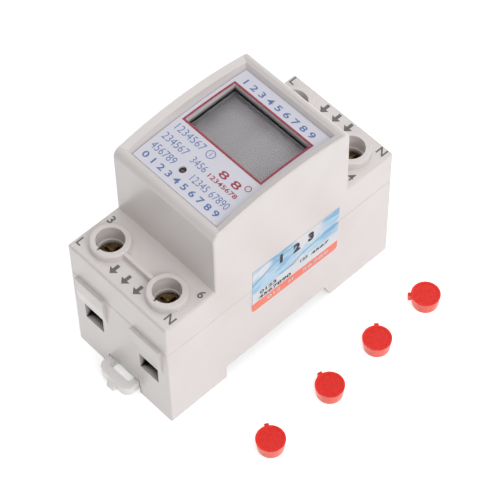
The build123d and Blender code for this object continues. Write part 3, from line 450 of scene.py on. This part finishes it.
def finishes():
    """One material for each of the record's slots."""
    return {
        "housing": moulded("housing_plastic", (0.776, 0.73, 0.715), 0.33, grain=0.15, spread=0.015),
        "label": moulded("label_plastic", (0.71, 0.705, 0.79), 0.3, 0.6, 0.1, 0.012),
        "print_red": ink("red_ink", (0.36, 0.006, 0.035)),
        "print_blue": ink("blue_ink", (0.075, 0.175, 0.45)),
        "clear": clear_pane(),
        "display": display_glass(),
        "dark_plastic": moulded("dark_plastic", (0.035, 0.035, 0.04), 0.45),
        "rubber": moulded("contact_rubber", (0.55, 0.22, 0.25), 0.7, 0.4, 0.3),
        "circuit_board": circuit_board(),
        "steel": metal("plated_steel", (0.42, 0.42, 0.43), (0.25, 0.25, 0.26), 0.35),
        "pulse_led": moulded("pulse_light", (0.10, 0.055, 0.07), 0.2, 1.5, 0.05),
        "capacitor": moulded("capacitor_box", (0.6, 0.45, 0.05), 0.35),
        "capacitor_can": moulded("capacitor_sleeve", (0.02, 0.03, 0.12), 0.3),
        "varistor": moulded("varistor_coat", (0.02, 0.08, 0.35), 0.3, 0.8, 0.5),
        "resistor": moulded("resistor_coat", (0.2, 0.38, 0.42), 0.4, 0.5, 0.5),
        "brass": metal("bar_brass", (0.7, 0.52, 0.24), (0.42, 0.3, 0.13), 0.34, (1, 0.1, 1)),
        "shunt": metal("shunt_alloy", (0.55, 0.36, 0.26), (0.4, 0.26, 0.18), 0.4, (1, 0.1, 1)),
        "sticker": sticker_film(),
        "sticker_red": moulded("sticker_red_print", (0.95, 0.17, 0.09), 0.4, 0.8, 0.08, 0.03),
        "sticker_white": moulded("sticker_white_print", (0.72, 0.76, 0.80), 0.35, 0.8, 0.08, 0.03),
        "latch": moulded(
            "latch_plastic",
            (0.97, 0.94, 0.93),
            0.36,
            0.5,
            0.3,
            0.02,
            Subsurface_Weight=0.2,
            Subsurface_Scale=1.5 * MM,
            Subsurface_Radius=(1.0, 1.0, 1.0),
        ),
        "screw": metal("screw_brass", (0.34, 0.23, 0.10), (0.06, 0.045, 0.022), 0.28),
        "plug_red": red_plug(),
    }


# Print

def glyphs(text, weight):
    """The flat mesh of a word, as vertices and faces; weight thickens its strokes."""
    curve = bpy.data.curves.new("glyphs", "FONT")
    curve.body = text
    curve.offset = weight
    curve.resolution_u = 3
    carrier = bpy.data.objects.new("glyphs", curve)
    bpy.context.collection.objects.link(carrier)
    mesh = bpy.data.meshes.new_from_object(carrier.evaluated_get(bpy.context.evaluated_depsgraph_get()))
    points = [v.co.copy() for v in mesh.vertices]
    faces = [tuple(p.vertices) for p in mesh.polygons]
    bpy.data.objects.remove(carrier)
    bpy.data.curves.remove(curve)
    bpy.data.meshes.remove(mesh)
    return points, faces


def fitted(text, x0, x1, y, height, weight):
    """A word stretched to a row's width and height, in metres, as flat points and faces."""
    points, faces = glyphs(text, weight)
    lows = [min(p[i] for p in points) for i in (0, 1)]
    highs = [max(p[i] for p in points) for i in (0, 1)]
    scale_x = (x1 - x0) * MM / (highs[0] - lows[0])
    scale_y = height * MM / (highs[1] - lows[1])
    base_y = (y - height / 2) * MM
    flat = [(x0 * MM + (p[0] - lows[0]) * scale_x, base_y + (p[1] - lows[1]) * scale_y) for p in points]
    return flat, faces


def centred(text, x, y, height, weight):
    """A word at its natural width, centred on a point."""
    points = glyphs(text, weight)[0]
    natural_w = max(p[0] for p in points) - min(p[0] for p in points)
    natural_h = max(p[1] for p in points) - min(p[1] for p in points)
    width = natural_w / natural_h * height
    return fitted(text, x - width / 2, x + width / 2, y, height, weight)


def ring(x, y, radius, width, steps=40):
    """A flat ring."""
    points, faces = [], []
    for i in range(steps):
        turn = 2 * math.pi * i / steps
        for r in (radius - width, radius):
            points.append(((x + r * math.cos(turn)) * MM, (y + r * math.sin(turn)) * MM))
        j = (i + 1) % steps
        faces.append((2 * i, 2 * i + 1, 2 * j + 1, 2 * j))
    return points, faces


def arrow(x, y, size):
    """A flat arrow that points towards -Y."""
    half = size / 2
    wing = half * 0.9
    shaft = half * 0.3
    neck = -half * 0.05
    outline = (
        (0, -half),
        (wing, neck),
        (shaft, neck),
        (shaft, half),
        (-shaft, half),
        (-shaft, neck),
        (-wing, neck),
    )
    points = [((x + a) * MM, (y + b) * MM) for a, b in outline]
    return points, [(0, 1, 2, 5, 6), (2, 3, 4, 5)]


def print_piece(name, shapes, lift, material):
    """One thin piece from flat shapes, each point set by lift(u, v, rise) just above its carrier."""
    points, faces = [], []
    for flat, shape_faces in shapes:
        start = len(points)
        points += [lift(u, v, INK_RISE) for u, v in flat]
        faces += [tuple(start + i for i in face) for face in shape_faces]
    mesh = bpy.data.meshes.new(name)
    mesh.from_pydata(points, [], faces)
    piece = bpy.data.objects.new(name, mesh)
    bpy.context.collection.objects.link(piece)
    mesh.materials.append(material)
    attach(piece, "housing")
    return piece


LABEL_LOW, LABEL_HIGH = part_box("front_label")
LABEL_MID_Y = (LABEL_LOW[1] + LABEL_HIGH[1]) / 2
BAND_FACE_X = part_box("sticker_band")[1][0]
STICKER_LOW, STICKER_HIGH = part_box("side_sticker")
STICKER_MID = [(a + b) / 2 for a, b in zip(STICKER_LOW, STICKER_HIGH)]


def on_label(u, v, rise):
    """A point over the arched label."""
    drop = LABEL_BEND - math.sqrt(LABEL_BEND ** 2 - (v - LABEL_MID_Y) ** 2)
    return (u, v, LABEL_HIGH[2] - drop + rise)


def on_deck(u, v, rise):
    """A point over the decks."""
    return (u, v, DECK_Z + rise)


def on_sticker(u, v, rise):
    """A point off the tilted sticker, from its place there."""
    y = STICKER_MID[1] + u * math.cos(STICKER_TILT) - v * math.sin(STICKER_TILT)
    z = STICKER_MID[2] + u * math.sin(STICKER_TILT) + v * math.cos(STICKER_TILT)
    return (BAND_FACE_X + rise, y, z)


def label_rows(rows):
    """The words of the label's rows."""
    return [fitted(text, x0, x1, y, height, weight) for text, y, x0, x1, height, weight in rows]


def label_print(looks):
    """The label's numbers and rings, in place of the plain marks in the solids."""
    blue = label_rows(BLUE_ROWS)
    blue.append(ring(*BLUE_RING, RING_W))
    blue.append(centred("1", *BLUE_RING, FINE))
    piece = print_piece("label_numbers_blue", blue, on_label, looks["print_blue"])
    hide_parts("print_blue")
    red = label_rows(RED_ROWS)
    red.append(ring(*RED_RING, RING_W))
    piece = print_piece("label_numbers_red", red, on_label, looks["print_red"])
    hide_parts("print_red")


def deck_print(grey):
    """The terminals' letters and digits, and three arrows on each deck."""
    shapes = [centred(text, x, y, DECK_MARK_H, MARK_WEIGHT) for text, x, y in DECK_MARKS]
    for y in ARROW_ROWS:
        for step in (-1, 0, 1):
            shapes.append(arrow(step * ARROW_PITCH, y, ARROW_H))
    print_piece("terminal_marks", shapes, on_deck, grey)


def sticker_print(looks, dark):
    """The sticker's dark numbers, and the white ones on its band."""
    shapes = [fitted(*row, STICKER_ROW_WEIGHT) for row in STICKER_DARK_ROWS]
    shapes += [centred(*mark, STICKER_MARK_WEIGHT) for mark in STICKER_MARKS]
    print_piece("sticker_numbers", shapes, on_sticker, dark)
    shapes = [fitted(*row, STICKER_BAND_WEIGHT) for row in STICKER_BAND_ROWS]
    print_piece("sticker_band_numbers", shapes, on_sticker, looks["sticker_white"])


# Stage

def white_stage(name, colour):
    """White to the camera and in reflections, plain and pale to other light; it keeps the shadow."""
    material, tree, shader, coords = new_material(name)
    shader.inputs["Roughness"].default_value = 0.9
    shader.inputs["Specular IOR Level"].default_value = 0.1
    dust = noise(tree, coords, 60.0, 3.0)
    tone = mix(tree, between(tree, dust, 0, 1), shade(colour, 0.99), colour)
    tree.links.new(tone, shader.inputs["Base Color"])
    path = tree.nodes.new("ShaderNodeLightPath")
    seen = maths(tree, "MAXIMUM", path.outputs["Is Camera Ray"], path.outputs["Is Transmission Ray"])
    glow = maths(tree, "MULTIPLY", seen, FLOOR_GLOW_SEEN)
    mirrored = maths(tree, "MULTIPLY", path.outputs["Is Glossy Ray"], FLOOR_GLOW_MIRRORED)
    shader.inputs["Emission Color"].default_value = (1, 1, 1, 1)
    tree.links.new(maths(tree, "ADD", glow, mirrored), shader.inputs["Emission Strength"])
    return material


def floor():
    """The floor, level with the part's lowest point."""
    mesh = bpy.data.meshes.new("floor")
    corners = ((-1, -1), (1, -1), (1, 1), (-1, 1))
    points = [(x * FLOOR_REACH, y * FLOOR_REACH, CAD_BOX[0][2]) for x, y in corners]
    mesh.from_pydata(points, [], [(0, 1, 2, 3)])
    mesh.materials.append(white_stage("floor_white", (0.95, 0.95, 0.95)))
    plane = bpy.data.objects.new("floor", mesh)
    bpy.context.collection.objects.link(plane)


def world():
    """A dim, even room that is white to the camera and through the pane."""
    sky = bpy.data.worlds.new("studio")
    bpy.context.scene.world = sky
    sky.use_nodes = True
    tree = sky.node_tree
    back = tree.nodes["Background"]
    back.inputs["Color"].default_value = (1, 1, 1, 1)
    path = tree.nodes.new("ShaderNodeLightPath")
    seen = maths(tree, "MAXIMUM", path.outputs["Is Camera Ray"], path.outputs["Is Transmission Ray"])
    tree.links.new(maths(tree, "MAXIMUM", seen, ROOM), back.inputs["Strength"])


def lamp(name, at, size, power):
    """A square soft light, aimed at the meter."""
    light = bpy.data.lights.new(name, "AREA")
    light.size = size
    light.energy = power
    holder = bpy.data.objects.new(name, light)
    bpy.context.collection.objects.link(holder)
    holder.location = at
    holder.rotation_euler = (LAMP_AIM - Vector(at)).to_track_quat("-Z", "Y").to_euler()


def camera():
    """The photograph's camera, which looks against the direction toward."""
    toward = Vector((
        math.cos(CAMERA_ELEVATION) * math.cos(CAMERA_AZIMUTH),
        math.cos(CAMERA_ELEVATION) * math.sin(CAMERA_AZIMUTH),
        math.sin(CAMERA_ELEVATION),
    ))
    right = (-toward).cross(Vector((0, 0, 1))).normalized()
    up = right.cross(-toward)
    turned_right = math.cos(CAMERA_ROLL) * right + math.sin(CAMERA_ROLL) * up
    turned_up = -math.sin(CAMERA_ROLL) * right + math.cos(CAMERA_ROLL) * up
    lens = bpy.data.cameras.new("camera")
    lens.lens = CAMERA_LENS
    lens.sensor_width = CAMERA_SENSOR
    lens.clip_start, lens.clip_end = CAMERA_CLIP
    holder = bpy.data.objects.new("camera", lens)
    bpy.context.collection.objects.link(holder)
    turn = Matrix((turned_right, turned_up, toward)).transposed().to_4x4()
    holder.matrix_world = Matrix.Translation(CAMERA_AT) @ turn
    bpy.context.scene.camera = holder


def dress(looks):
    """Each CAD node gets the material of its slot."""
    for row in frame["record"]["subparts"]:
        node = frame["nodes"][row["node"]]
        node.data.materials.clear()
        node.data.materials.append(looks[row["material_slot"]])


def latch_spring():
    """The latch's spring, as a copy of its mesh on the housing in place of the CAD part."""
    node = frame["nodes"]["latch_spring"]
    piece = bpy.data.objects.new("latch_spring_strip", node.data.copy())
    bpy.context.collection.objects.link(piece)
    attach(piece, "housing")
    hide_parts("latch_spring")
    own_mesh(piece)


LOOKS = finishes()
dress(LOOKS)
latch_spring()
frame["nodes"]["base_housing"].data.materials[0] = shell_painted_hole_shade(LOOKS["housing"])
frame["nodes"]["top_cover"].data.materials[0] = cover_painted_window_shade(LOOKS["housing"])
# A real frame, its mid grey picked as painted shade for the soft dark band along the window's edges.
frame["nodes"]["lcd_frame"].data.materials[0] = moulded("display_frame_painted_shade", (0.26, 0.25, 0.26), 0.6)
GREY_INK = ink("grey_ink", (0.14, 0.13, 0.13), 0.5)
label_print(LOOKS)
deck_print(GREY_INK)
sticker_print(LOOKS, ink("dark_ink", (0.02, 0.025, 0.04), 0.5, 0.1))
floor()
world()
for name, place, size, power in LAMPS:
    lamp(name, place, size, power)
camera()
bpy.context.scene.view_settings.view_transform = "Standard"
